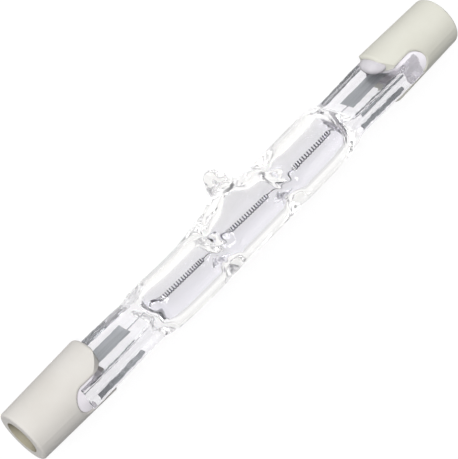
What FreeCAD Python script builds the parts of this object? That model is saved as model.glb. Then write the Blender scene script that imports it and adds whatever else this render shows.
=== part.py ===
import FreeCAD, Part
import math
import os

from FreeCAD import Vector as V

# A double-ended linear halogen lamp, 78 mm class, in millimetres.
# X runs along the lamp, Z is up, the origin is the middle of the lamp on the axis of
# its ceramic ends. The lamp lies as it comes to rest: on both ceramic ends and on
# the sealed exhaust tip, which points forward (-Y) and down. The flat pinch seals
# stand upright, with their broad faces towards -Y and +Y.

# ---------------------------------------------------------------- driving dimensions
OVERALL_LENGTH = 78.3        # over the ceramic ends
CONTACT_DISTANCE = 74.9      # from contact face to contact face
HALF = OVERALL_LENGTH / 2
CONTACT_FACE = CONTACT_DISTANCE / 2

CERAMIC_LENGTH = {1: 12.60, -1: 12.45}  # right and left end
CERAMIC_R_OUTER_END = 3.64
CERAMIC_R_INNER_END = 3.94
CERAMIC_EDGE_ROUND = 0.32    # round of the outer end's edge
RECESS_R = 2.30              # recess that takes the socket's contact
SEAT_R = 1.90                # seat of the contact's head in the recess floor
HEAD_THICKNESS = 0.50
STEM_R = 0.90
STEM_END = 34.60
LEAD_BORE_R = 1.10           # clearance bore behind the contact's seat
SLOT_WIDTH = {1: 3.62, -1: 4.00}        # slot for the pinch, open to both sides
SLOT_MIDDLE = {1: 0.15, -1: 0.04}       # the slot follows its pinch across the lamp
SLOT_BOTTOM = 32.50          # round bottom of the slot, distance from the middle
TONGUE_CORNER = 2.60         # round of the tongues' corners, across the lamp
TONGUE_CORNER_LONG = {1: 4.00, -1: 2.90}  # the same round, along the lamp
SLOT_EDGE = 0.30             # round of the slot's edges in the outer face
TONGUE_EDGE = 0.45           # round of the tongues' outer end edge

PINCH_END = 31.10            # outer end of the glass
PINCH_SQUARENESS = 8.0
SHOULDER_START = 15.9
SHOULDER_END = 19.0

BORE_SHIFT = 0.07            # the bore isn't quite in the middle of the tube
CAVITY_END = 17.30
WAIST_X = 6.0                # crimped waists that hold the filament
WAIST_DEPTH_OUTSIDE = 1.20
WAIST_DEPTH_INSIDE = 1.85

TIP_BELOW_LEVEL = 30.60      # degrees below the horizontal
TIP_BALL_R = 1.25
TIP_BALL_CENTRE = 6.36       # from the bulb's axis
TIP_NECK_R = 1.74

FOIL_WIDTH = 2.35
FOIL_THICKNESS = 0.06
FOIL_START = {1: 21.15, -1: 20.70}  # right and left end
FOIL_DROP = {1: 0.43, -1: 0.20}     # below the middle of the pinch
FOIL_BACK = {1: 0.30, -1: 0.35}     # behind the middle of the pinch
FOIL_END = 29.00
LEAD_R = 0.11
LEAD_OVERLAP = 0.90          # length of lead that lies on the foil
LEAD_TIP = 16.95             # inner lead's end, inside the bulb
# lump of cement on the left front tongue's end: middle (Y, Z) and half sizes (X, Y, Z)
LUMP = ((-2.60, 0.35), (1.45, 0.90, 2.10))

WIRE_R = 0.070
COIL_R = 0.28                # to the middle of the wire
# wound segments: start, end and pitch
COILS = ((16.40, 8.05, 0.370), (3.95, -3.95, 0.405), (-8.10, -16.30, 0.435))

# middle of the glass across the lamp, (X, Y, Z): the worked tube isn't quite straight
GLASS_LINE = (
    (-34.0, 0.04, 0.18), (-26.0, 0.04, 0.18), (-19.0, 0.02, 0.24), (-14.0, -0.10, 0.60),
    (-10.0, -0.12, 0.70), (-6.0, -0.10, 0.78), (0.0, -0.04, 0.86), (6.0, 0.02, 0.94),
    (10.0, 0.06, 0.96), (14.0, 0.08, 0.84), (19.0, 0.13, 0.36), (26.0, 0.15, 0.25),
    (34.0, 0.15, 0.25),
)
# half width and half thickness of the flat pinches, (X, across Z, across Y)
PINCH = (
    (-34.0, 3.84, 1.70), (-26.0, 3.84, 1.70), (-19.0, 3.64, 1.69), (0.0, 3.60, 1.70),
    (19.0, 3.48, 1.71), (25.0, 3.72, 1.71), (34.0, 3.76, 1.71),
)
# outer radius of the bulb along it
BULB_RADIUS = (
    (-20.0, 4.00), (-16.0, 4.05), (-13.0, 4.09), (-9.0, 4.09), (-6.0, 4.06), (-3.0, 3.98),
    (0.0, 3.90), (3.0, 3.85), (6.0, 3.80), (9.0, 3.76), (13.0, 3.72), (16.0, 3.71),
    (20.0, 3.70),
)
# inner radius of the tube along it
BORE_RADIUS = ((-17.0, 2.48), (-10.0, 2.47), (0.0, 2.40), (10.0, 2.30), (17.0, 2.29))
# rise of the glass towards the exhaust tip, wider on the right side
FLARE = (
    (-5.2, 0.0), (-4.4, 0.08), (-3.7, 0.22), (-2.9, 0.55), (-2.3, 0.80), (-1.7, 1.02),
    (-1.0, 1.15), (0.0, 1.20), (1.0, 1.20), (1.8, 1.10), (2.6, 0.90), (3.6, 0.62),
    (5.0, 0.45), (6.6, 0.34), (8.2, 0.15), (9.8, 0.0),
)
# funnel of the old exhaust opening inside the bulb
FUNNEL = (
    (-3.8, 0.0), (-3.0, 0.10), (-2.2, 0.36), (-1.5, 0.82), (-0.9, 1.24), (-0.45, 1.42),
    (0.0, 1.46), (0.45, 1.43), (0.9, 1.28), (1.5, 0.92), (2.2, 0.52), (3.0, 0.22),
    (4.0, 0.0),
)
# line that the filament follows, (X, Y, Z)
FILAMENT_LINE = (
    (-17.5, 0.06, 0.22), (-14.0, -0.12, 0.55), (-8.0, -0.20, 0.68), (-6.0, -0.20, 0.67),
    (-4.0, -0.19, 0.70), (0.0, -0.21, 0.66), (3.0, -0.33, 0.58), (4.2, -0.38, 0.51),
    (6.0, -0.32, 0.59), (8.0, -0.25, 0.66), (12.0, -0.25, 0.55), (15.5, -0.10, 0.30),
    (17.5, 0.05, 0.12),
)


# ---------------------------------------------------------------- small helpers
def along(table, x, column=1):
    """Smooth value of a table at x: cubic Hermite between its rows, flat at its ends."""
    if x <= table[0][0]:
        return table[0][column]
    if x >= table[-1][0]:
        return table[-1][column]
    n = len(table)
    for i in range(n - 1):
        if table[i][0] <= x <= table[i + 1][0]:
            break

    def slope(k):
        if k == 0 or k == n - 1:
            return 0.0
        return (table[k + 1][column] - table[k - 1][column]) / (table[k + 1][0] - table[k - 1][0])

    h = table[i + 1][0] - table[i][0]
    t = (x - table[i][0]) / h
    a, b = table[i][column], table[i + 1][column]
    m0, m1 = slope(i) * h, slope(i + 1) * h
    return ((2 * t ** 3 - 3 * t ** 2 + 1) * a + (t ** 3 - 2 * t ** 2 + t) * m0
            + (-2 * t ** 3 + 3 * t ** 2) * b + (t ** 3 - t ** 2) * m1)


def step(a, b, x):
    t = min(max((x - a) / (b - a), 0.0), 1.0)
    return t * t * (3 - 2 * t)


def turn_from(angle, middle):
    """Signed difference of two directions, in degrees."""
    return (angle - middle + 180.0) % 360.0 - 180.0


def bell(d, width):
    return math.exp(-0.5 * (d / width) ** 2)


# ---------------------------------------------------------------- glass sections
def outer_point(x, turn):
    """Point of the outer skin; turn is in degrees from -Y towards +Z."""
    ax = abs(x)
    k = step(SHOULDER_START, SHOULDER_END, ax)
    bulb = along(BULB_RADIUS, x)
    a = bulb + (along(PINCH, x) - bulb) * k
    b = bulb + (along(PINCH, x, 2) - bulb) * k
    p = 2.0 + (PINCH_SQUARENESS - 2.0) * k ** 2
    c, s = math.cos(math.radians(turn)), math.sin(math.radians(turn))
    y = -b * math.copysign(abs(c) ** (2 / p), c)
    z = a * math.copysign(abs(s) ** (2 / p), s)
    grow = along(FLARE, x) * bell(turn_from(turn, -TIP_BELOW_LEVEL), 24.0)
    for side in (0.0, 180.0):
        grow -= (WAIST_DEPTH_OUTSIDE * bell(ax - WAIST_X, 0.95)
                 * bell(turn_from(turn, side), 17.0))
    size = math.hypot(y, z)
    f = (size + grow) / size
    return V(x, along(GLASS_LINE, x) + y * f, along(GLASS_LINE, x, 2) + z * f)


def inner_point(x, turn):
    """Point of the bulb's inner wall."""
    ax = abs(x)
    r = along(BORE_RADIUS, x)
    # the pinching leaves a wedge: thin across Y early, full across Z almost to its end
    thin = math.sqrt(max(1 - (max(ax - 15.3, 0.0) / 2.10) ** 2, 0.0))
    full = max(1 - (max(ax - 15.3, 0.0) / 2.10) ** 2.5, 0.0) ** 0.4
    r += along(FUNNEL, x) * bell(turn_from(turn, -TIP_BELOW_LEVEL), 21.0)
    for side in (0.0, 180.0):
        r -= (WAIST_DEPTH_INSIDE * bell(ax - WAIST_X, 0.78)
              * bell(turn_from(turn, side), 40.0))
    c, s = math.cos(math.radians(turn)), math.sin(math.radians(turn))
    shift = BORE_SHIFT * (1 - step(13.0, 16.5, ax))
    return V(x, along(GLASS_LINE, x) + shift - r * thin * c,
             along(GLASS_LINE, x, 2) + shift + r * full * s)


def skin(rows):
    """Closed solid from rows of points round the lamp: a smooth wall and two flat ends."""
    n, m = len(rows), len(rows[0])
    wall = Part.BSplineSurface()
    wall.buildFromPolesMultsKnots(
        rows,
        [4] + [1] * (n - 4) + [4], [1] * (m + 1),
        [float(i) for i in range(n - 2)], [float(i) for i in range(m + 1)],
        False, True, 3, 3)
    face = wall.toShape()
    ends = [e for e in face.Edges if e.isClosed() and not e.isSeam(face)]
    caps = [Part.Face(Part.Wire([e])) for e in ends]
    shell = Part.Shell([face] + caps)
    solid = Part.Solid(shell)
    if not solid.isValid():
        shell.sewShape()
        solid = Part.Solid(Part.Shell(shell.Faces))
    if solid.Volume < 0:
        solid.reverse()
    return solid


def stations(limit, fine, coarse, fine_to):
    xs, x = [], 0.0
    while x < limit - 1e-6:
        xs.append(x)
        x += fine if x < fine_to else coarse
    if limit - xs[-1] < 0.4 * fine:
        xs.pop()
    xs.append(limit)
    return [-v for v in reversed(xs[1:])] + xs


AROUND = 72
turns = [360.0 * i / AROUND for i in range(AROUND)]


# ---------------------------------------------------------------- quartz envelope
outside = skin([[outer_point(x, t) for t in turns]
                for x in stations(PINCH_END, 0.45, 1.4, 19.2)])
inside = skin([[inner_point(x, t) for t in turns]
               for x in stations(CAVITY_END, 0.40, 0.25, 13.2)])

tip_base = V(0, along(GLASS_LINE, 0), along(GLASS_LINE, 0, 2))
tip_profile = [
    V(2.9, 0, 0), V(2.9, 2.35, 0), V(3.6, 2.22, 0), V(4.3, 2.02, 0), V(4.75, 1.86, 0),
    V(5.15, TIP_NECK_R, 0), V(5.55, 1.66, 0), V(5.95, 1.57, 0), V(6.35, 1.47, 0),
    V(TIP_BALL_CENTRE + 0.40, 1.38, 0), V(TIP_BALL_CENTRE + 0.86, 1.16, 0),
    V(TIP_BALL_CENTRE + 1.17, 0.80, 0), V(TIP_BALL_CENTRE + TIP_BALL_R, 0.40, 0),
    V(TIP_BALL_CENTRE + TIP_BALL_R, 0, 0),
]
curve = Part.BSplineCurve()
curve.buildFromPolesMultsKnots(
    tip_profile[1:], [4] + [1] * (len(tip_profile) - 5) + [4],
    [float(i) for i in range(len(tip_profile) - 3)], False, 3)
tip_wire = Part.Wire([
    Part.LineSegment(tip_profile[-1], tip_profile[0]).toShape(),
    Part.LineSegment(tip_profile[0], tip_profile[1]).toShape(),
    curve.toShape(),
])
tip = Part.Face(tip_wire).revolve(V(0, 0, 0), V(1, 0, 0), 360)
tip.Placement = FreeCAD.Placement(
    tip_base,
    FreeCAD.Rotation(V(1, 0, 0), V(0, -math.cos(math.radians(TIP_BELOW_LEVEL)),
                                   -math.sin(math.radians(TIP_BELOW_LEVEL)))))
if tip.Volume < 0:
    tip.reverse()
blank = outside.fuse(tip)
blank = blank.Solids[0] if len(blank.Solids) == 1 else blank
glass = blank.cut(inside)


# ---------------------------------------------------------------- conductors
def end_pieces(sign):
    """Foil and lead wires of one end, upright inside the pinch."""
    yc = along(GLASS_LINE, sign * 26.0) + FOIL_BACK[sign]
    zl = along(GLASS_LINE, sign * 26.0, 2)
    zc = zl - FOIL_DROP[sign]
    foil_start = FOIL_START[sign]
    x0, x1 = sorted((sign * foil_start, sign * FOIL_END))
    foil = Part.makeBox(x1 - x0, FOIL_THICKNESS, FOIL_WIDTH,
                        V(x0, yc - FOIL_THICKNESS / 2, zc - FOIL_WIDTH / 2))
    yl = yc + FOIL_THICKNESS / 2 + LEAD_R
    inner = Part.makeCylinder(LEAD_R, foil_start + LEAD_OVERLAP - LEAD_TIP,
                              V(sign * LEAD_TIP, yl, zl), V(sign, 0, 0))
    outer = Part.makeCylinder(LEAD_R, STEM_END - (FOIL_END - LEAD_OVERLAP),
                              V(sign * (FOIL_END - LEAD_OVERLAP), yl, zl), V(sign, 0, 0))
    return foil, inner, outer, (yl, zl)


right_foil, right_inner_lead, right_outer_lead, right_lead_at = end_pieces(1)
left_foil, left_inner_lead, left_outer_lead, left_lead_at = end_pieces(-1)
for piece in (right_foil, right_inner_lead, right_outer_lead,
              left_foil, left_inner_lead, left_outer_lead):
    glass = glass.cut(piece)
quartz_envelope = glass.Solids[0] if len(glass.Solids) == 1 else glass


# ---------------------------------------------------------------- filament
PER_TURN = 12
ROUND_WIRE = 8
path = []


def on_line(x):
    return along(FILAMENT_LINE, x), along(FILAMENT_LINE, x, 2)


def straight(x0, x1, y0=None, z0=None, y1=None, z1=None, count=8):
    """A run from one point to another along the filament's line."""
    for i in range(count):
        t = i / count
        x = x0 + (x1 - x0) * t
        y, z = on_line(x)
        if y0 is not None:
            y, z = y0 + (y - y0) * step(0, 1, t), z0 + (z - z0) * step(0, 1, t)
        if y1 is not None:
            y, z = y + (y1 - y) * step(0, 1, t), z + (z1 - z) * step(0, 1, t)
        path.append(V(x, y, z))


def coil(x0, x1, pitch):
    """A wound segment, closer at both ends, with its radius rising from the line."""
    turn_count = round((x0 - x1) / pitch)
    total = turn_count * PER_TURN
    gain = (2 + math.cos(2 * math.pi / PER_TURN)) / 3
    for i in range(total + 1):
        t = i / total
        x = x0 + (x1 - x0) * (t - 0.018 * math.sin(2 * math.pi * t))
        r = COIL_R / gain * min(step(0, 0.8 * PER_TURN, i), step(0, 0.8 * PER_TURN, total - i))
        a = 2 * math.pi * i / PER_TURN
        y, z = on_line(x)
        path.append(V(x, y + r * math.cos(a), z + r * math.sin(a)))


straight(LEAD_TIP, COILS[0][0] + 0.12, *right_lead_at, count=5)
coil(*COILS[0])
straight(COILS[0][1] - 0.15, COILS[1][0] + 0.12, count=14)
coil(*COILS[1])
straight(COILS[1][1] - 0.15, COILS[2][0] + 0.12, count=14)
coil(*COILS[2])
straight(COILS[2][1] - 0.12, -LEAD_TIP, None, None, *left_lead_at, count=5)
path.append(V(-LEAD_TIP, *left_lead_at))



def faceted(rows):
    """Closed solid from rings of corners: one long strip for each flat side, and two ends."""
    n, m = len(rows), len(rows[0])
    faces = []
    for j in range(m):
        strip = Part.BSplineSurface()
        strip.buildFromPolesMultsKnots(
            [[ring[j], ring[(j + 1) % m]] for ring in rows],
            [4] + [1] * (n - 4) + [4], [2, 2],
            [float(i) for i in range(n - 2)], [0.0, 1.0], False, False, 3, 1)
        faces.append(strip.toShape())
    for ring in (rows[0], rows[-1]):
        faces.append(Part.Face(Part.makePolygon(list(ring) + [ring[0]])))
    shell = Part.Shell(faces)
    shell.sewShape()
    solid = Part.Solid(Part.Shell(shell.Faces))
    if solid.Volume < 0:
        solid.reverse()
    return solid


rings, normal = [], V(0, 0, 1)
for i, p in enumerate(path):
    if i == 0 or i == len(path) - 1:
        tangent = V(-1, 0, 0)
    else:
        tangent = (path[i + 1] - path[i - 1]).normalize()
    normal = (normal - tangent * normal.dot(tangent)).normalize()
    side = tangent.cross(normal)
    rings.append([p + normal * (WIRE_R * math.cos(2 * math.pi * j / ROUND_WIRE))
                  + side * (WIRE_R * math.sin(2 * math.pi * j / ROUND_WIRE))
                  for j in range(ROUND_WIRE)])
filament = faceted(rings)


# ---------------------------------------------------------------- ceramic ends
def tongue_block(sign, shift=0.0):
    """Block with the tongues' round corners, as seen from the front, for a right end."""
    start = HALF - CERAMIC_LENGTH[sign] + shift
    w, z1, c, long = 4.2, 3.62, TONGUE_CORNER, TONGUE_CORNER_LONG[sign]
    x = start + long
    edges = []
    for side in (-1, 1):
        middle = V(x, 0, side * (z1 - c))
        round_edge = Part.Ellipse(middle + V(-long, 0, 0), middle + V(0, 0, side * c), middle)
        edges.append(Part.Arc(round_edge, 0, math.pi / 2).toShape())
    outline = Part.Wire([
        Part.LineSegment(V(HALF + 1, 0, -w), V(x, 0, -w)).toShape(),
        Part.LineSegment(V(x, 0, -w), V(x, 0, -z1)).toShape(),
        edges[0],
        Part.LineSegment(V(start, 0, -z1 + c), V(start, 0, z1 - c)).toShape(),
        edges[1],
        Part.LineSegment(V(x, 0, z1), V(x, 0, w)).toShape(),
        Part.LineSegment(V(x, 0, w), V(HALF + 1, 0, w)).toShape(),
        Part.LineSegment(V(HALF + 1, 0, w), V(HALF + 1, 0, -w)).toShape(),
    ])
    block = Part.Face(outline).extrude(V(0, 12, 0))
    block.translate(V(0, -6, 0))
    return block


def ceramic_end(sign):
    """One ceramic end, made as a right end and mirrored for the left."""
    length = CERAMIC_LENGTH[sign]
    start = HALF - length
    body = Part.makeCone(CERAMIC_R_INNER_END, CERAMIC_R_OUTER_END, length,
                         V(start, 0, 0), V(1, 0, 0))
    rim = [e for e in body.Edges if e.isClosed() and abs(e.CenterOfMass.x - HALF) < 1e-6]
    body = body.makeFillet(CERAMIC_EDGE_ROUND, rim)
    mouth = [e for e in body.Edges if e.isClosed() and abs(e.CenterOfMass.x - start) < 1e-6]
    body = body.makeFillet(TONGUE_EDGE, mouth)
    body = body.common(tongue_block(sign))

    body = body.cut(slot(sign))
    rims = [e for e in body.Edges if on_slot_rim(e, sign)]
    body = body.makeFillet(SLOT_EDGE, rims)
    body = body.cut(Part.makeCylinder(LEAD_BORE_R, CONTACT_FACE - HEAD_THICKNESS - 31.0,
                                      V(31.0, 0, 0), V(1, 0, 0)))
    body = body.cut(Part.makeCylinder(SEAT_R, HEAD_THICKNESS,
                                      V(CONTACT_FACE - HEAD_THICKNESS, 0, 0), V(1, 0, 0)))
    body = body.cut(Part.makeCylinder(RECESS_R, HALF - CONTACT_FACE + 1,
                                      V(CONTACT_FACE, 0, 0), V(1, 0, 0)))
    body = body.removeSplitter().Solids[0]
    return body if sign > 0 else body.mirror(V(0, 0, 0), V(1, 0, 0))


def slot(sign):
    """The pinch's slot of a right end: flat sides, round bottom, open above and below."""
    r, y = SLOT_WIDTH[sign] / 2, SLOT_MIDDLE[sign]
    s = Part.makeBox(SLOT_BOTTOM - r - 20.0, 2 * r, 12.0, V(20.0, y - r, -6.0))
    return s.fuse(Part.makeCylinder(r, 12.0, V(SLOT_BOTTOM - r, y, -6.0), V(0, 0, 1)))


def on_slot_rim(edge, sign):
    """True for the edges where the slot's wall meets the ceramic's outer face."""
    r, length = SLOT_WIDTH[sign] / 2, CERAMIC_LENGTH[sign]
    first, last = edge.ParameterRange
    for t in (0.1, 0.5, 0.9):
        q = edge.valueAt(first + (last - first) * t)
        y = q.y - SLOT_MIDDLE[sign]
        away = math.hypot(q.y, q.z)
        full = CERAMIC_R_INNER_END + ((CERAMIC_R_OUTER_END - CERAMIC_R_INNER_END)
                                      * (q.x - HALF + length) / length)
        if abs(away - full) > 0.01 or q.x > SLOT_BOTTOM + 0.01:
            return False
        flat = abs(abs(y) - r) < 0.01
        bend = abs(math.hypot(q.x - SLOT_BOTTOM + r, y) - r) < 0.01
        if not (flat or bend):
            return False
    return True


right_ceramic_base = ceramic_end(1)
left_ceramic_base = ceramic_end(-1)


# ---------------------------------------------------------------- contacts
def contact():
    head = Part.makeCylinder(SEAT_R, HEAD_THICKNESS,
                             V(CONTACT_FACE - HEAD_THICKNESS, 0, 0), V(1, 0, 0))
    face = [e for e in head.Edges if e.isClosed() and abs(e.CenterOfMass.x - CONTACT_FACE) < 1e-6]
    head = head.makeFillet(0.18, face)
    stem = Part.makeCylinder(STEM_R, CONTACT_FACE - HEAD_THICKNESS - STEM_END,
                             V(STEM_END, 0, 0), V(1, 0, 0))
    return head.fuse(stem).removeSplitter().Solids[0]


right_contact = contact()
left_contact = right_contact.mirror(V(0, 0, 0), V(1, 0, 0))


# ---------------------------------------------------------------- cement
def cement(sign, lead):
    """White cement that fills the slot round the pinch's end and beside its faces."""
    fill_r = 3.66
    full = Part.makeCylinder(fill_r, SLOT_BOTTOM - 26.0, V(26.0, 0, 0), V(1, 0, 0))
    full = full.common(slot(sign)).common(tongue_block(sign, 0.55 if sign > 0 else -0.15))
    if sign < 0:
        full = full.mirror(V(0, 0, 0), V(1, 0, 0))
    full = full.cut(outside).cut(lead)
    # keep it off the pinch's edges, so that they stay bare in the notches
    x0 = 25.0 if sign > 0 else -PINCH_END - 0.02
    zc = along(GLASS_LINE, sign * 26.0, 2)
    wide = along(PINCH, sign * 30.0)
    for low in (zc + wide - 0.55, zc - wide + 0.55 - 6.0):
        full = full.cut(Part.makeBox(PINCH_END + 0.02 - 25.0, 8.0, 6.0, V(x0, -4.0, low)))
    if sign < 0:
        (y, z), (half_x, half_y, half_z) = LUMP
        m = FreeCAD.Matrix()
        m.scale(half_x, half_y, half_z)
        m.move(V(-(HALF - CERAMIC_LENGTH[sign] + 0.05), y, z))
        lump = Part.makeSphere(1.0, V(0, 0, 0), V(0, 1, 0))
        lump.rotate(V(0, 0, 0), V(0, 1, 0), 180)
        lump = lump.transformGeometry(m)
        full = full.fuse(lump.cut(left_ceramic_base).cut(outside))
    return full.removeSplitter()


right_cement = cement(1, right_outer_lead)
left_cement = cement(-1, left_outer_lead)


# ---------------------------------------------------------------- files
os.makedirs("parts", exist_ok=True)
NODES = {
    "quartz_envelope": quartz_envelope,
    "filament": filament,
    "right_foil": right_foil,
    "left_foil": left_foil,
    "right_inner_lead": right_inner_lead,
    "left_inner_lead": left_inner_lead,
    "right_outer_lead": right_outer_lead,
    "left_outer_lead": left_outer_lead,
    "right_ceramic_base": right_ceramic_base,
    "left_ceramic_base": left_ceramic_base,
    "right_contact": right_contact,
    "left_contact": left_contact,
    "right_cement": right_cement,
    "left_cement": left_cement,
}
for name, shape in NODES.items():
    print(name, "solids", len(shape.Solids), "valid", shape.isValid(),
          "volume", round(shape.Volume, 3), "box", [round(v, 3) for v in (
              shape.BoundBox.XMin, shape.BoundBox.XMax, shape.BoundBox.YMin,
              shape.BoundBox.YMax, shape.BoundBox.ZMin, shape.BoundBox.ZMax)])
    shape.exportStep("parts/" + name + ".step")
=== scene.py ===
import math

import bmesh
import bpy
import numpy as np
from mathutils import Matrix, Vector


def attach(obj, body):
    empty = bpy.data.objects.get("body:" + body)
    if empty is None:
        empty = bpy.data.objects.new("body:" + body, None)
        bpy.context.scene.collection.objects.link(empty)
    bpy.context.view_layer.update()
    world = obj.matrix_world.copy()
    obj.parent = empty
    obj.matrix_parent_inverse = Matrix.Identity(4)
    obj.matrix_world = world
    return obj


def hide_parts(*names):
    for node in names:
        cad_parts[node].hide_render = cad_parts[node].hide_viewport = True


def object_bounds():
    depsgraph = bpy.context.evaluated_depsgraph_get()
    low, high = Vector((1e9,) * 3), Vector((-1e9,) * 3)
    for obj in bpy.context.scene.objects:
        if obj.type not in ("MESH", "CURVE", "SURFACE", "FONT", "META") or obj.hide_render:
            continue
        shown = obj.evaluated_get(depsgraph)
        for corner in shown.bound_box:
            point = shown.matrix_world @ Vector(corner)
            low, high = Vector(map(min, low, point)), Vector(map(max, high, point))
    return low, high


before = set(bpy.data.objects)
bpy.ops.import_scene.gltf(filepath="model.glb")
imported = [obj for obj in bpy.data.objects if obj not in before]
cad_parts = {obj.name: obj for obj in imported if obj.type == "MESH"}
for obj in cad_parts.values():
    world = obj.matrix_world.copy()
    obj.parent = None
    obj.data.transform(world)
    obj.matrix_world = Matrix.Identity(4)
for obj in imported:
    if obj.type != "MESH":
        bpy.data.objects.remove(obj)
cad_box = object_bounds()
scene = bpy.context.scene
MM = 0.001

# ------------------------------------------------------------------ camera
PHI = math.radians(50.0)
axis_a = Vector((-1, 0, 0))
axis_c = Vector((0, -math.cos(PHI), math.sin(PHI)))
axis_n = axis_a.cross(axis_c)
TILT = math.radians(20.75)
fwd = (axis_a * math.sin(TILT) - axis_c * math.cos(TILT)).normalized()
dirn = (axis_a * math.cos(TILT) + axis_c * math.sin(TILT)).normalized()
ROLL = math.radians(45.17)
right = dirn * math.cos(ROLL) + axis_n * math.sin(ROLL)
up = dirn * math.sin(ROLL) - axis_n * math.cos(ROLL)
cam_data = bpy.data.cameras.new("camera")
cam_data.sensor_width = 36.0
cam_data.lens = 36.0 * 1700.0 / 459.0
cam_data.clip_start = 0.005
cam_data.clip_end = 20.0
camera = bpy.data.objects.new("camera", cam_data)
scene.collection.objects.link(camera)
rot = Matrix((right, up, -fwd)).transposed().to_4x4()
rot.translation = (axis_a * -77.4 + axis_c * 197.1 + dirn * 0.11) * MM
camera.matrix_world = rot
scene.camera = camera

# ------------------------------------------------------------------ shape of the glass, as in the part
PINCH_END, PINCH_SQUARENESS = 31.10, 8.0
SHOULDER_START, SHOULDER_END = 15.9, 19.0
BORE_SHIFT, CAVITY_END = 0.07, 17.30
WAIST_X, WAIST_DEPTH_OUTSIDE, WAIST_DEPTH_INSIDE = 6.0, 1.20, 1.85
TIP_BELOW_LEVEL, TIP_BALL_R, TIP_BALL_CENTRE, TIP_NECK_R = 30.60, 1.25, 6.36, 1.74
# middle of the glass across the lamp, (X, Y, Z): the worked tube isn't quite straight
GLASS_LINE = (
    (-34.0, 0.04, 0.18), (-26.0, 0.04, 0.18), (-19.0, 0.02, 0.24), (-14.0, -0.10, 0.60),
    (-10.0, -0.12, 0.70), (-6.0, -0.10, 0.78), (0.0, -0.04, 0.86), (6.0, 0.02, 0.94),
    (10.0, 0.06, 0.96), (14.0, 0.08, 0.84), (19.0, 0.13, 0.36), (26.0, 0.15, 0.25),
    (34.0, 0.15, 0.25),
)
# half width and half thickness of the flat pinches, (X, across Z, across Y)
PINCH = (
    (-34.0, 3.84, 1.70), (-26.0, 3.84, 1.70), (-19.0, 3.64, 1.69), (0.0, 3.60, 1.70),
    (19.0, 3.48, 1.71), (25.0, 3.72, 1.71), (34.0, 3.76, 1.71),
)
# outer radius of the bulb along it
BULB_RADIUS = (
    (-20.0, 4.00), (-16.0, 4.05), (-13.0, 4.09), (-9.0, 4.09), (-6.0, 4.06), (-3.0, 3.98),
    (0.0, 3.90), (3.0, 3.85), (6.0, 3.80), (9.0, 3.76), (13.0, 3.72), (16.0, 3.71),
    (20.0, 3.70),
)
# inner radius of the tube along it
BORE_RADIUS = ((-17.0, 2.48), (-10.0, 2.47), (0.0, 2.40), (10.0, 2.30), (17.0, 2.29))
# rise of the glass towards the exhaust tip, wider on the right side
FLARE = (
    (-5.2, 0.0), (-4.4, 0.08), (-3.7, 0.22), (-2.9, 0.55), (-2.3, 0.80), (-1.7, 1.02),
    (-1.0, 1.15), (0.0, 1.20), (1.0, 1.20), (1.8, 1.10), (2.6, 0.90), (3.6, 0.62),
    (5.0, 0.45), (6.6, 0.34), (8.2, 0.15), (9.8, 0.0),
)
# funnel of the old exhaust opening inside the bulb
FUNNEL = (
    (-3.8, 0.0), (-3.0, 0.10), (-2.2, 0.36), (-1.5, 0.82), (-0.9, 1.24), (-0.45, 1.42),
    (0.0, 1.46), (0.45, 1.43), (0.9, 1.28), (1.5, 0.92), (2.2, 0.52), (3.0, 0.22),
    (4.0, 0.0),
)


def along(table, x, column=1):
    t = np.array([row[0] for row in table], float)
    v = np.array([row[column] for row in table], float)
    m = np.zeros_like(v)
    m[1:-1] = (v[2:] - v[:-2]) / (t[2:] - t[:-2])
    x = np.clip(np.asarray(x, float), t[0], t[-1])
    i = np.clip(np.searchsorted(t, x, side="right") - 1, 0, len(t) - 2)
    h = t[i + 1] - t[i]
    u = (x - t[i]) / h
    return ((2 * u ** 3 - 3 * u ** 2 + 1) * v[i] + (u ** 3 - 2 * u ** 2 + u) * m[i] * h
            + (-2 * u ** 3 + 3 * u ** 2) * v[i + 1] + (u ** 3 - u ** 2) * m[i + 1] * h)


def step(a, b, x):
    t = np.clip((x - a) / (b - a), 0.0, 1.0)
    return t * t * (3 - 2 * t)


def bell(d, width):
    return np.exp(-0.5 * (d / width) ** 2)


def turn_from(angle, middle):
    return (angle - middle + 180.0) % 360.0 - 180.0


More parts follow.
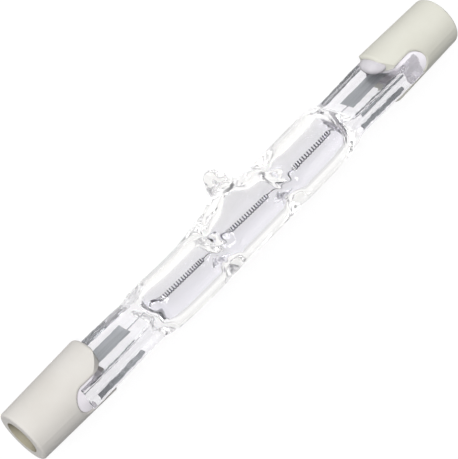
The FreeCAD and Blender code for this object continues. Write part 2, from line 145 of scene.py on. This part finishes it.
def outer_grid(x, turn):
    """Outer skin; turn is the true direction in degrees from -Y towards +Z."""
    ax = np.abs(x)
    k = step(SHOULDER_START, SHOULDER_END, ax)
    bulb = along(BULB_RADIUS, x)
    a = bulb + (along(PINCH, x) - bulb) * k
    b = bulb + (along(PINCH, x, 2) - bulb) * k
    p = 2.0 + (PINCH_SQUARENESS - 2.0) * k ** 2
    c, s = np.cos(np.radians(turn)), np.sin(np.radians(turn))
    size = ((np.abs(c) / b) ** p + (np.abs(s) / a) ** p) ** (-1 / p)
    grow = along(FLARE, x) * bell(turn_from(turn, -TIP_BELOW_LEVEL), 24.0)
    for side in (0.0, 180.0):
        grow = grow - (WAIST_DEPTH_OUTSIDE * bell(ax - WAIST_X, 0.95)
                       * bell(turn_from(turn, side), 17.0))
    d = x - np.sign(x) * WAIST_X
    grow = grow - 0.045 * bell(d, 1.2) * (1 + np.sin(7 * np.radians(turn) + 2.9 * d + 0.8 * np.sign(x)))
    # the pinched glass is a little wavy, and its narrow faces have a shallow groove
    y, z = -size * c, size * s
    wave = (0.5 + 0.22 * np.sin(1.9 * x + 1.1 * z + 0.6) + 0.16 * np.sin(3.7 * x - 1.7 * z + 1.3 * y)
            + 0.12 * np.sin(6.1 * x + 2.3 * z - 2.0 * y + 2.0))
    groove = bell(y, 0.42) * step(0.75, 0.92, np.abs(z) / a)
    edge = bell(np.abs(z) - a + 0.95, 0.30) * step(0.7, 0.95, np.abs(y) / b)
    held = step(29.9, 30.6, ax) * step(0.86, 0.97, np.abs(y) / b)
    grow = grow - k * (1 - held) * (0.05 * wave + 0.13 * groove + 0.06 * edge)
    f = (0.997 + 0.007 * held) * (size + grow)
    return np.stack([x + 0 * y, along(GLASS_LINE, x) - f * c, along(GLASS_LINE, x, 2) + f * s], -1)


def inner_grid(x, turn):
    ax = np.abs(x)
    r = along(BORE_RADIUS, x)
    thin = np.sqrt(np.maximum(1 - (np.maximum(ax - 15.3, 0.0) / 2.10) ** 2, 0.0))
    full = np.maximum(1 - (np.maximum(ax - 15.3, 0.0) / 2.10) ** 2.5, 0.0) ** (1 / 2.5)
    r = r + along(FUNNEL, x) * bell(turn_from(turn, -TIP_BELOW_LEVEL), 21.0)
    for side in (0.0, 180.0):
        r = r - (WAIST_DEPTH_INSIDE * bell(ax - WAIST_X, 0.78)
                 * bell(turn_from(turn, side), 40.0))
    # folds that the crimping leaves beside each waist
    t = np.radians(turn)
    d = x - np.sign(x) * WAIST_X
    r = r - 0.16 * bell(np.abs(d) - 1.15, 0.34) * (1 + 0.7 * np.sin(3 * t + 0.9 * np.sign(d) + 0.4))
    r = r + 0.10 * bell(d, 0.5) * np.sin(5 * t + 2.0 * d + 0.7)
    r = r + 0.06 * bell(d, 1.1) * np.sin(9 * t + 3.4 * d + 1.1 * np.sign(x))
    c, s = np.cos(t), np.sin(t)
    shift = BORE_SHIFT * (1 - step(13.0, 16.5, ax))
    return np.stack([x + 0 * r, along(GLASS_LINE, x) + shift - r * thin * c,
                     along(GLASS_LINE, x, 2) + shift + r * full * s], -1)


def closed_tube(grid, flip=False):
    """Vertices and faces of a tube of rings with a fan at both ends."""
    n, m = grid.shape[:2]
    verts = [tuple(p * MM) for p in grid.reshape(-1, 3)]
    faces = []
    for i in range(n - 1):
        for j in range(m):
            q = (i * m + j, i * m + (j + 1) % m, (i + 1) * m + (j + 1) % m, (i + 1) * m + j)
            faces.append(q if flip else q[::-1])
    for row, turn_round in ((0, False), (n - 1, True)):
        base = len(verts)
        verts.append(tuple(grid[row].mean(0) * MM))
        for j in range(m):
            q = (row * m + j, row * m + (j + 1) % m, base)
            faces.append(q if (turn_round == flip) else q[::-1])
    return verts, faces


def new_object(name, verts, faces, smooth=True):
    mesh = bpy.data.meshes.new(name)
    mesh.from_pydata(verts, [], faces)
    mesh.update()
    if smooth:
        mesh.polygons.foreach_set("use_smooth", [True] * len(mesh.polygons))
    obj = bpy.data.objects.new(name, mesh)
    scene.collection.objects.link(obj)
    return obj


def spline(poles, count):
    """Points of a clamped uniform cubic B-spline."""
    poles = np.array(poles, float)
    n = len(poles)
    knots = np.concatenate([[0, 0, 0], np.arange(n - 2), [n - 3] * 3]).astype(float)
    out = []
    for t in np.linspace(0, n - 3 - 1e-9, count):
        k = int(np.searchsorted(knots, t, side="right") - 1)
        d = [poles[j + k - 3].copy() for j in range(4)]
        for r in range(1, 4):
            for j in range(3, r - 1, -1):
                i = j + k - 3
                w = (t - knots[i]) / (knots[i + 4 - r] - knots[i])
                d[j] = (1 - w) * d[j - 1] + w * d[j]
        out.append(d[3])
    return np.array(out)


# outer skin
xs = np.concatenate([np.linspace(-PINCH_END - 0.02, -19.0, 56)[:-1], np.linspace(-19.0, 19.0, 190),
                     np.linspace(19.0, PINCH_END + 0.02, 56)[1:]])
turns = np.linspace(0, 360, 181)[:-1]
X, T = np.meshgrid(xs, turns, indexing="ij")
glass = new_object("glass_envelope", *closed_tube(outer_grid(X, T)))

# exhaust tip
tip_poles = [
    (2.9, 2.35), (3.6, 2.22), (4.3, 2.02), (4.75, 1.86), (5.15, TIP_NECK_R), (5.55, 1.66),
    (5.95, 1.57), (6.35, 1.47), (TIP_BALL_CENTRE + 0.40, 1.38), (TIP_BALL_CENTRE + 0.86, 1.16),
    (TIP_BALL_CENTRE + 1.17, 0.80), (TIP_BALL_CENTRE + TIP_BALL_R, 0.40),
    (TIP_BALL_CENTRE + TIP_BALL_R, 0.0),
]
prof = spline(tip_poles, 60)[:-1]
beta = math.radians(TIP_BELOW_LEVEL)
t_dir = np.array([0, -math.cos(beta), -math.sin(beta)])
t_u = np.array([1.0, 0, 0])
t_v = np.cross(t_dir, t_u)
base = np.array([0, float(along(GLASS_LINE, 0.0)), float(along(GLASS_LINE, 0.0, 2))])
ang = np.linspace(0, 2 * math.pi, 73)[:-1]
tall = prof[:, :1]
dent = (0.10 * (1 + np.sin(2 * ang[None, :] + 1.9 * tall + 0.5)) + 0.05 * (1 + np.sin(3 * ang[None, :] - 2.6 * tall + 1.2)))
lump = 1 - dent * step(4.6, 5.6, tall) * step(8.4, 7.0, tall)
tip_grid = (base + prof[:, None, :1] * 0.998 * t_dir + (prof[:, 1:] * lump)[:, :, None]
            * (np.cos(ang)[None, :, None] * t_u + np.sin(ang)[None, :, None] * t_v))
tip = new_object("tip", *closed_tube(tip_grid))
for o in (glass, tip):
    bm = bmesh.new()
    bm.from_mesh(o.data)
    bmesh.ops.recalc_face_normals(bm, faces=bm.faces)
    bm.to_mesh(o.data)
    bm.free()
mod = glass.modifiers.new("join", "BOOLEAN")
mod.operation = "UNION"
mod.solver = "EXACT"
mod.object = tip
deps = bpy.context.evaluated_depsgraph_get()
joined = bpy.data.meshes.new_from_object(glass.evaluated_get(deps))
glass.modifiers.clear()
glass.data = joined
bpy.data.objects.remove(tip)

# the melted join of tip and tube is round: smooth a collar where the two meet
bm = bmesh.new()
bm.from_mesh(glass.data)
for _ in range(4):
    # corners where only two edges meet are left over from the join
    spare = [v for v in bm.verts if len(v.link_edges) == 2]
    if spare:
        bmesh.ops.dissolve_verts(bm, verts=spare)
collar = []
for v in bm.verts:
    p = np.array(v.co) / MM - base
    h = float(p @ t_dir)
    r = float(np.linalg.norm(p - h * t_dir))
    if 3.2 < h < 5.6 and 1.15 < r < 2.9:
        collar.append(v)
for _ in range(10):
    bmesh.ops.smooth_vert(bm, verts=collar, factor=0.5, use_axis_x=True, use_axis_y=True, use_axis_z=True)
bm.to_mesh(glass.data)
bm.free()

# inner wall, in the same piece, facing the cavity
xi = np.concatenate([np.linspace(-CAVITY_END, -13.0, 30)[:-1], np.linspace(-13.0, 13.0, 160),
                     np.linspace(13.0, CAVITY_END, 30)[1:]])
turns_i = np.linspace(0, 360, 121)[:-1]
XI, TI = np.meshgrid(xi, turns_i, indexing="ij")
iv, if_ = closed_tube(inner_grid(XI, TI))
bm = bmesh.new()
tmp = bpy.data.meshes.new("tmp")
tmp.from_pydata(iv, [], if_)
bm.from_mesh(tmp)
# the small drop-shaped void that the sealed exhaust tube leaves in the tip
lat = np.linspace(0.02, math.pi - 0.02, 22)
void_h = 6.10 - 0.42 * np.cos(lat)
void_r = 0.26 * np.sin(lat) * (1 + 0.35 * np.cos(lat))
around = np.linspace(0, 2 * math.pi, 33)[:-1]
void = (base + void_h[:, None, None] * t_dir + void_r[:, None, None]
        * (np.cos(around)[None, :, None] * t_u + np.sin(around)[None, :, None] * t_v)
        + (0.12 * np.sin(lat))[:, None, None] * t_u)
vv, vf = closed_tube(void)
tmp2 = bpy.data.meshes.new("tmp2")
tmp2.from_pydata(vv, [], vf)
bm.from_mesh(tmp2)
bmesh.ops.recalc_face_normals(bm, faces=bm.faces)
bmesh.ops.reverse_faces(bm, faces=bm.faces)
inside_faces = len(bm.faces)
bm.from_mesh(glass.data)
bm.to_mesh(glass.data)
bm.free()
bpy.data.meshes.remove(tmp)
bpy.data.meshes.remove(tmp2)
glass.data.polygons.foreach_set("use_smooth", [True] * len(glass.data.polygons))
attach(glass, "root")
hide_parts("quartz_envelope")


# ------------------------------------------------------------------ materials
def material(name):
    m = bpy.data.materials.new(name)
    m.use_nodes = True
    nt = m.node_tree
    b = next(n for n in nt.nodes if n.type == "BSDF_PRINCIPLED")
    return m, nt, b


def node(nt, kind, **values):
    n = nt.nodes.new(kind)
    for k, v in values.items():
        if hasattr(n, k):
            setattr(n, k, v)
        else:
            n.inputs[k.replace("_", " ")].default_value = v
    return n


def noise(nt, scale, detail=4.0, rough=0.55):
    co = nt.nodes.get("object_coordinates")
    if co is None:
        co = nt.nodes.new("ShaderNodeTexCoord")
        co.name = "object_coordinates"
    n = nt.nodes.new("ShaderNodeTexNoise")
    n.inputs["Scale"].default_value = scale
    n.inputs["Detail"].default_value = detail
    n.inputs["Roughness"].default_value = rough
    nt.links.new(co.outputs["Object"], n.inputs["Vector"])
    return n


def ramp(nt, source, stops):
    r = nt.nodes.new("ShaderNodeValToRGB")
    r.color_ramp.elements[0].position, r.color_ramp.elements[0].color = stops[0][0], (*stops[0][1], 1)
    r.color_ramp.elements[1].position, r.color_ramp.elements[1].color = stops[-1][0], (*stops[-1][1], 1)
    for pos, col in stops[1:-1]:
        e = r.color_ramp.elements.new(pos)
        e.color = (*col, 1)
    nt.links.new(source, r.inputs["Fac"])
    return r


def bump(nt, b, source, strength, distance):
    n = nt.nodes.new("ShaderNodeBump")
    n.inputs["Strength"].default_value = strength
    n.inputs["Distance"].default_value = distance
    nt.links.new(source, n.inputs["Height"])
    nt.links.new(n.outputs["Normal"], b.inputs["Normal"])
    return n


def glass_material(name, colour, ripple, pinch=None, seal_shade=None):
    m, nt, b = material(name)
    b.inputs["Base Color"].default_value = (*colour, 1)
    if pinch:
        # the worked ends are a little cooler than the bulb, and greyer along the foils as painted shade
        place = nt.nodes.new("ShaderNodeTexCoord")
        parts = nt.nodes.new("ShaderNodeSeparateXYZ")
        nt.links.new(place.outputs["Object"], parts.inputs["Vector"])
        out = nt.nodes.new("ShaderNodeMath")
        out.operation = "ABSOLUTE"
        nt.links.new(parts.outputs["X"], out.inputs[0])
        share = nt.nodes.new("ShaderNodeMapRange")
        share.inputs["From Min"].default_value = 0.0155
        share.inputs["From Max"].default_value = 0.0225
        nt.links.new(out.outputs["Value"], share.inputs["Value"])
        tint = ramp(nt, share.outputs["Result"], [(0.0, colour), (0.5, pinch), (0.7, pinch), (1.0, seal_shade)])
        nt.links.new(tint.outputs["Color"], b.inputs["Base Color"])
    b.inputs["Transmission Weight"].default_value = 1.0
    b.inputs["IOR"].default_value = 1.458
    b.inputs["Roughness"].default_value = 0.0
    wav = noise(nt, 260.0, 2.0)
    bump(nt, b, wav.outputs["Fac"], ripple, 0.0002)
    return m


# the last colour, greyer round the foils, is painted shade
quartz = glass_material("quartz", (0.985, 0.980, 0.965), 0.04, pinch=(0.968, 0.958, 0.985),
                        seal_shade=(0.928, 0.919, 0.943))
# the inner wall's lilac-grey colour is painted shade
quartz_inside = glass_material("quartz_inner_wall", (0.905, 0.898, 0.955), 0.05)


def wall_painted_shade(m):
    """Painted shade on the inner wall: a faint lilac-grey tint, greyer towards the exhaust tip's side."""
    nt = m.node_tree
    b = next(n for n in nt.nodes if n.type == "BSDF_PRINCIPLED")
    towards = nt.nodes.new("ShaderNodeVectorMath")
    towards.operation = "DOT_PRODUCT"
    towards.inputs[1].default_value = tuple(float(c) for c in t_dir)
    nt.links.new(nt.nodes["object_coordinates"].outputs["Object"], towards.inputs[0])
    share = nt.nodes.new("ShaderNodeMapRange")
    share.inputs["From Min"].default_value = -0.0020
    share.inputs["From Max"].default_value = 0.0015
    nt.links.new(towards.outputs["Value"], share.inputs["Value"])
    tint = ramp(nt, share.outputs["Result"], [(0.0, (0.915, 0.907, 0.975)), (1.0, (0.830, 0.825, 0.860))])
    nt.links.new(tint.outputs["Color"], b.inputs["Base Color"])


wall_painted_shade(quartz_inside)
glass.data.materials.clear()
glass.data.materials.append(quartz)
glass.data.materials.append(quartz_inside)
glass.data.polygons.foreach_set("material_index", [1] * inside_faces + [0] * (len(glass.data.polygons) - inside_faces))

def ceramic_material(name, dark, middle, light):
    """Pressed steatite, with painted shade inside the contact recess: darker and browner there."""
    m, nt, b = material(name)
    cloud = noise(nt, 140.0, 5.0)
    col = ramp(nt, cloud.outputs["Fac"], [(0.30, dark), (0.55, middle), (0.75, light)])
    # painted shade: the recess wall is coloured darker and browner than the outside
    recess_shade_noise = noise(nt, 420.0, 3.0)
    inside = ramp(nt, recess_shade_noise.outputs["Fac"], [(0.3, (0.126, 0.112, 0.067)), (0.7, (0.176, 0.158, 0.102))])
    parts = nt.nodes.new("ShaderNodeSeparateXYZ")
    nt.links.new(nt.nodes["object_coordinates"].outputs["Object"], parts.inputs["Vector"])
    flat = nt.nodes.new("ShaderNodeCombineXYZ")
    nt.links.new(parts.outputs["Y"], flat.inputs["Y"])
    nt.links.new(parts.outputs["Z"], flat.inputs["Z"])
    away = nt.nodes.new("ShaderNodeVectorMath")
    away.operation = "LENGTH"
    nt.links.new(flat.outputs["Vector"], away.inputs[0])
    near_axis = nt.nodes.new("ShaderNodeMapRange")
    near_axis.inputs["From Min"].default_value = 0.00226
    near_axis.inputs["From Max"].default_value = 0.00242
    near_axis.inputs["To Min"].default_value = 1.0
    near_axis.inputs["To Max"].default_value = 0.0
    nt.links.new(away.outputs["Value"], near_axis.inputs["Value"])
    out = nt.nodes.new("ShaderNodeMath")
    out.operation = "ABSOLUTE"
    nt.links.new(parts.outputs["X"], out.inputs[0])
    far_out = nt.nodes.new("ShaderNodeMapRange")
    far_out.inputs["From Min"].default_value = 0.0340
    far_out.inputs["From Max"].default_value = 0.0345
    nt.links.new(out.outputs["Value"], far_out.inputs["Value"])
    both = nt.nodes.new("ShaderNodeMath")
    both.operation = "MULTIPLY"
    nt.links.new(near_axis.outputs["Result"], both.inputs[0])
    nt.links.new(far_out.outputs["Result"], both.inputs[1])
    mix = nt.nodes.new("ShaderNodeMix")
    mix.data_type = "RGBA"
    nt.links.new(both.outputs["Value"], mix.inputs[0])
    nt.links.new(col.outputs["Color"], mix.inputs[6])
    nt.links.new(inside.outputs["Color"], mix.inputs[7])
    nt.links.new(mix.outputs[2], b.inputs["Base Color"])
    b.inputs["Roughness"].default_value = 0.62
    grain = noise(nt, 4200.0, 3.0)
    bump(nt, b, grain.outputs["Fac"], 0.16, 0.00006)
    return m


# the right steatite is painted darker than the left as painted shade; the left one is a little yellower
ceramic = ceramic_material("steatite", (0.322, 0.309, 0.289), (0.339, 0.327, 0.309), (0.352, 0.342, 0.327))
ceramic_left = ceramic_material("steatite_left", (0.343, 0.338, 0.297), (0.361, 0.357, 0.318), (0.375, 0.373, 0.336))


def cement_material(name, dark, light, deep):
    """Pale cement; deep is the colour in the slot, where a painted glow stands in for the light there."""
    m, nt, b = material(name)
    cloud = noise(nt, 700.0, 5.0)
    col = ramp(nt, cloud.outputs["Fac"], [(0.3, dark), (0.7, light)])
    pale = ramp(nt, cloud.outputs["Fac"], [(0.3, deep), (0.7, tuple(min(1.0, 1.12 * v) for v in deep))])
    parts = nt.nodes.new("ShaderNodeSeparateXYZ")
    nt.links.new(nt.nodes["object_coordinates"].outputs["Object"], parts.inputs["Vector"])
    out = nt.nodes.new("ShaderNodeMath")
    out.operation = "ABSOLUTE"
    nt.links.new(parts.outputs["X"], out.inputs[0])
    share = nt.nodes.new("ShaderNodeMapRange")
    share.inputs["From Min"].default_value = 0.0276
    share.inputs["From Max"].default_value = 0.0290
    nt.links.new(out.outputs["Value"], share.inputs["Value"])
    mix = nt.nodes.new("ShaderNodeMix")
    mix.data_type = "RGBA"
    nt.links.new(share.outputs["Result"], mix.inputs[0])
    nt.links.new(col.outputs["Color"], mix.inputs[6])
    nt.links.new(pale.outputs["Color"], mix.inputs[7])
    nt.links.new(mix.outputs[2], b.inputs["Base Color"])
    # painted light: the cement glows in the slot
    painted_glow = nt.nodes.new("ShaderNodeMapRange")
    painted_glow.inputs["From Min"].default_value = 0.0276
    painted_glow.inputs["From Max"].default_value = 0.0290
    painted_glow.inputs["To Max"].default_value = PAINTED_SLOT_GLOW
    nt.links.new(out.outputs["Value"], painted_glow.inputs["Value"])
    b.inputs["Emission Color"].default_value = (0.97, 0.945, 1.0, 1)
    nt.links.new(painted_glow.outputs["Result"], b.inputs["Emission Strength"])
    b.inputs["Roughness"].default_value = 0.8
    grain = noise(nt, 2600.0, 5.0)
    bump(nt, b, grain.outputs["Fac"], 0.4, 0.00012)
    return m


# strength of the painted glow of the cement in the slot
PAINTED_SLOT_GLOW = 0.33
# one cement in two copies: the right one is painted lighter as painted light, the left one darker
cement = cement_material("cement", (0.50, 0.475, 0.50), (0.56, 0.535, 0.56), (0.235, 0.222, 0.235))
cement_left = cement_material("cement_left", (0.285, 0.274, 0.29), (0.352, 0.340, 0.357), (0.30, 0.288, 0.305))


def metal(name, dark, light, roughness, scale, stretch=None):
    m, nt, b = material(name)
    n = noise(nt, scale, 4.0)
    if stretch:
        mp = nt.nodes.new("ShaderNodeMapping")
        mp.inputs["Scale"].default_value = stretch
        co = nt.nodes["object_coordinates"]
        nt.links.new(co.outputs["Object"], mp.inputs["Vector"])
        nt.links.new(mp.outputs["Vector"], n.inputs["Vector"])
    c = ramp(nt, n.outputs["Fac"], [(0.3, dark), (0.7, light)])
    nt.links.new(c.outputs["Color"], b.inputs["Base Color"])
    b.inputs["Metallic"].default_value = 1.0
    b.inputs["Roughness"].default_value = roughness
    bump(nt, b, n.outputs["Fac"], 0.15, 0.00003)
    return m


tungsten = metal("tungsten", (0.09, 0.086, 0.108), (0.17, 0.163, 0.195), 0.45, 900.0)
molybdenum = metal("molybdenum_foil", (0.355, 0.375, 0.39), (0.49, 0.51, 0.525), 0.5, 500.0, (0.3, 1, 6))
lead = metal("lead_wire", (0.70, 0.70, 0.72), (0.86, 0.86, 0.88), 0.25, 600.0, (0.3, 4, 4))
plated = metal("contact", (0.36, 0.34, 0.26), (0.58, 0.54, 0.42), 0.42, 800.0)

USES = {
    "filament": tungsten, "right_foil": molybdenum, "left_foil": molybdenum,
    "right_inner_lead": lead, "left_inner_lead": lead,
    "right_outer_lead": lead, "left_outer_lead": lead,
    "right_ceramic_base": ceramic, "left_ceramic_base": ceramic_left,
    "right_contact": plated, "left_contact": plated,
    "right_cement": cement, "left_cement": cement_left,
}
for name, m in USES.items():
    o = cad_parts[name]
    for s in o.material_slots:
        s.material = m

# ------------------------------------------------------------------ floor and light
floor_z = cad_box[0][2]
n = 24
ring = [(math.cos(2 * math.pi * i / n) * 3.0, math.sin(2 * math.pi * i / n) * 3.0, floor_z) for i in range(n)]
floor = new_object("floor", ring, [tuple(range(n))], smooth=False)
fm, nt, b = material("pale_floor")
cloud = noise(nt, 3.0, 2.0)
col = ramp(nt, cloud.outputs["Fac"], [(0.3, (0.10, 0.10, 0.10)), (0.7, (0.115, 0.115, 0.115))])
nt.links.new(col.outputs["Color"], b.inputs["Base Color"])
b.inputs["Roughness"].default_value = 0.9
b.inputs["Emission Color"].default_value = (1, 1, 1, 1)
b.inputs["Emission Strength"].default_value = 0.86
floor.data.materials.append(fm)

world = bpy.data.worlds.new("studio")
scene.world = world
world.use_nodes = True
bg = next(n for n in world.node_tree.nodes if n.type == "BACKGROUND")
# a pale tent: light near the ground along both long sides of the lamp, dimmer overhead and beyond its ends
wt = world.node_tree
way = wt.nodes.new("ShaderNodeTexCoord")
height = wt.nodes.new("ShaderNodeSeparateXYZ")
wt.links.new(way.outputs["Generated"], height.inputs["Vector"])
tent = ramp(wt, height.outputs["Z"], [(0.0, (0.84, 0.84, 0.86)), (0.30, (0.80, 0.80, 0.82)),
                                      (0.55, (0.30, 0.30, 0.31)), (1.0, (0.20, 0.20, 0.21))])
sideways = wt.nodes.new("ShaderNodeMath")
sideways.operation = "ABSOLUTE"
wt.links.new(height.outputs["X"], sideways.inputs[0])
ends = wt.nodes.new("ShaderNodeMapRange")
ends.inputs["From Min"].default_value = 0.50
ends.inputs["From Max"].default_value = 0.80
wt.links.new(sideways.outputs["Value"], ends.inputs["Value"])
sides = wt.nodes.new("ShaderNodeMix")
sides.data_type = "RGBA"
wt.links.new(ends.outputs["Result"], sides.inputs[0])
wt.links.new(tent.outputs["Color"], sides.inputs[6])
sides.inputs[7].default_value = (0.20, 0.20, 0.21, 1)
wt.links.new(sides.outputs[2], bg.inputs["Color"])
bg.inputs["Strength"].default_value = 1.0


def area(name, place, target, size, watts, colour=(1, 1, 1)):
    d = bpy.data.lights.new(name, "AREA")
    d.shape = "RECTANGLE"
    d.size, d.size_y = size
    d.energy = watts
    d.color = colour
    o = bpy.data.objects.new(name, d)
    scene.collection.objects.link(o)
    p, t = Vector(place), Vector(target)
    o.matrix_world = Matrix.Translation(p) @ (p - t).to_track_quat("Z", "Y").to_matrix().to_4x4()
    return o


area("front_softbox", (0.283, -0.530, 0.528), (0, 0, 0), (0.5, 0.5), 13.6).visible_glossy = False
area("back_softbox", (-0.90, 0.38, 1.10), (0, 0, 0), (1.0, 1.0), 2.6)

# light runs a long way inside clear glass before it comes out
scene.cycles.max_bounces = 40
scene.cycles.transmission_bounces = 40
scene.cycles.glossy_bounces = 24
scene.view_settings.view_transform = "Standard"
scene.view_settings.look = "None"
